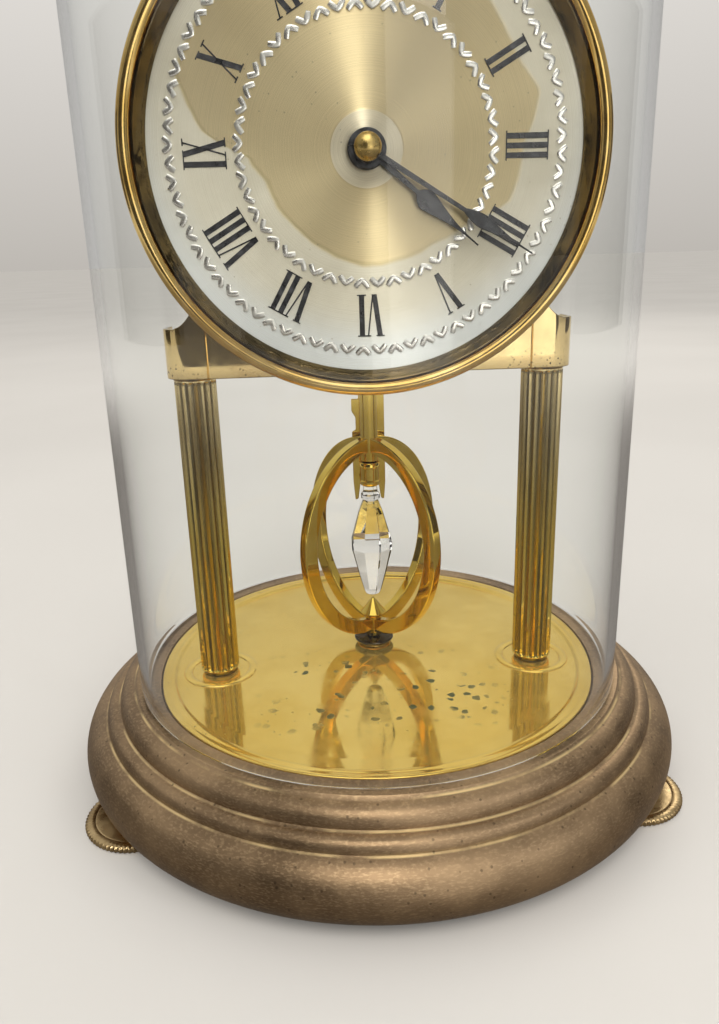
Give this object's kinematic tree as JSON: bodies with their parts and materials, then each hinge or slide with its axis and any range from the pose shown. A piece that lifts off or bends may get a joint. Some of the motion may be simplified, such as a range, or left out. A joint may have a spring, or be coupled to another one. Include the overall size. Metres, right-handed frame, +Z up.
{
  "type": "anniversary clock",
  "caption": "Quartz anniversary clock with a crossed-hoop turning pendulum, fluted columns and a lift-off glass dome on a moulded round base.",
  "frame": {"origin": "middle of the bounding box at the surface the clock stands on; the dome's axis is 2.25 mm in front of it because the rear foot sticks out behind the base", "axes": "+Z up, -Y is the side the dial faces, +X is the right-hand side of the dial"},
  "size_m": [0.1858, 0.1905, 0.311],
  "materials": {
    "polished_brass": "polished, lacquered",
    "foot_brass": "knurled edge, dull gold",
    "bronze_brass": "satin bronze-brown over brass, worn bright on the ridges",
    "pale_brass": "polished, speckled with tarnish",
    "dome_glass": "clear, polished",
    "crystal": "clear, faceted",
    "dial_silver": "champagne sunray centre, silvery-white chapter ring",
    "black_paint": "semi-gloss black",
    "steel": "plain",
    "dark_steel": "blackened",
    "copper": "enamelled copper winding",
    "black_plastic": "moulded, fine texture",
    "white_plastic": "moulded acetal",
    "board_green": "solder mask",
    "battery_sleeve": "printed film without any mark"
  },
  "bodies": {
    "base": {"base_shell": "bronze_brass", "floor_plate": "polished_brass", "bottom_plate": "dark_steel", "foot_bush_left": "steel", "foot_bush_right": "steel", "foot_bush_rear": "steel", "column_left": "polished_brass", "column_right": "polished_brass", "tie_screw_left": "steel", "tie_screw_right": "steel", "column_nut_left": "steel", "column_nut_right": "steel", "bracket": "pale_brass", "dial_spacer": "black_plastic", "dial_plate": "dial_silver", "bezel": "polished_brass", "mounting_nut": "black_paint", "movement_case_front": "black_plastic", "movement_case_back": "black_plastic", "train_bridge": "white_plastic", "battery_contact_minus": "steel", "battery_contact_plus": "steel", "circuit_board": "board_green", "quartz_can": "steel", "motor_stator": "steel", "motor_coil": "copper", "drive_coil": "copper", "suspension_block": "steel", "suspension_strip": "steel", "guide_cup": "polished_brass"},
    "foot_left": {"levelling_foot_left": "foot_brass"},
    "foot_right": {"levelling_foot_right": "foot_brass"},
    "foot_rear": {"levelling_foot_rear": "foot_brass"},
    "dome": {"glass_dome": "dome_glass"},
    "minute": {"minute_hand": "black_paint", "hand_nut": "polished_brass", "cannon_pinion": "steel"},
    "hour": {"hour_hand": "black_paint", "hour_wheel": "white_plastic"},
    "minute_wheel": {"minute_wheel": "white_plastic", "set_knob": "white_plastic"},
    "rotor": {"motor_rotor": "dark_steel"},
    "fourth_wheel": {"fourth_wheel": "white_plastic"},
    "third_wheel": {"third_wheel": "white_plastic"},
    "centre_wheel": {"centre_wheel": "white_plastic"},
    "battery": {"battery": "battery_sleeve"},
    "pendulum": {"pendulum_rod": "polished_brass", "hanger_strip": "polished_brass", "drive_magnet": "dark_steel", "crystal_ferrule": "polished_brass", "crystal_drop": "crystal", "hoop_arm_front_left": "polished_brass", "hoop_arm_front_right": "polished_brass", "hoop_arm_rear_left": "polished_brass", "hoop_arm_rear_right": "polished_brass", "finial": "polished_brass", "pendulum_post": "polished_brass", "pendulum_base_disc": "dark_steel"}
  },
  "joints": [
    {"name": "foot_left_turn", "type": "hinge", "parent": "base", "child": "foot_left", "pos_m": [-0.07101, -0.04325, 0.002], "axis": [0, 0, 1], "range_deg": [-720, 720]},
    {"name": "foot_right_turn", "type": "hinge", "parent": "base", "child": "foot_right", "pos_m": [0.07101, -0.04325, 0.002], "axis": [0, 0, 1], "range_deg": [-720, 720]},
    {"name": "foot_rear_turn", "type": "hinge", "parent": "base", "child": "foot_rear", "pos_m": [0, 0.07975, 0.002], "axis": [0, 0, 1], "range_deg": [-720, 720]},
    {"name": "dome_lift", "type": "slide", "parent": "base", "child": "dome", "axis": [0, 0, 1], "range_m": [0, 0.3]},
    {"name": "minute_turn", "type": "hinge", "parent": "base", "child": "minute", "pos_m": [0, -0.01225, 0.1786], "axis": [0, 1, 0], "continuous": true},
    {"name": "hour_turn", "type": "hinge", "parent": "base", "child": "hour", "pos_m": [0, -0.01225, 0.1786], "axis": [0, 1, 0], "continuous": true},
    {"name": "minute_wheel_turn", "type": "hinge", "parent": "base", "child": "minute_wheel", "pos_m": [0.01061, -0.01225, 0.16799], "axis": [0, 1, 0], "continuous": true},
    {"name": "rotor_turn", "type": "hinge", "parent": "base", "child": "rotor", "pos_m": [-0.01564, -0.01225, 0.19274], "axis": [0, 1, 0], "continuous": true},
    {"name": "fourth_wheel_turn", "type": "hinge", "parent": "base", "child": "fourth_wheel", "pos_m": [-0.01392, -0.01225, 0.18299], "axis": [0, 1, 0], "continuous": true},
    {"name": "third_wheel_turn", "type": "hinge", "parent": "base", "child": "third_wheel", "pos_m": [-0.00897, -0.01225, 0.17442], "axis": [0, 1, 0], "continuous": true},
    {"name": "centre_wheel_turn", "type": "hinge", "parent": "base", "child": "centre_wheel", "pos_m": [0, -0.01225, 0.1786], "axis": [0, 1, 0], "continuous": true},
    {"name": "battery_slide", "type": "slide", "parent": "base", "child": "battery", "axis": [0, 1, 0], "range_m": [0, 0.03]},
    {"name": "pendulum_swing", "type": "hinge", "parent": "base", "child": "pendulum", "pos_m": [0, 0.00575, 0.1], "axis": [0, 0, 1], "range_deg": [-150, 150], "stiffness_Nm_per_rad": 0.00002}
  ],
  "couplings": [
    {"joint": "minute_wheel_turn", "follows": "minute_turn", "ratio": -0.33333},
    {"joint": "hour_turn", "follows": "minute_turn", "ratio": 0.083333},
    {"joint": "fourth_wheel_turn", "follows": "rotor_turn", "ratio": -0.25},
    {"joint": "third_wheel_turn", "follows": "rotor_turn", "ratio": 0.0625},
    {"joint": "centre_wheel_turn", "follows": "rotor_turn", "ratio": -0.015625}
  ]
}
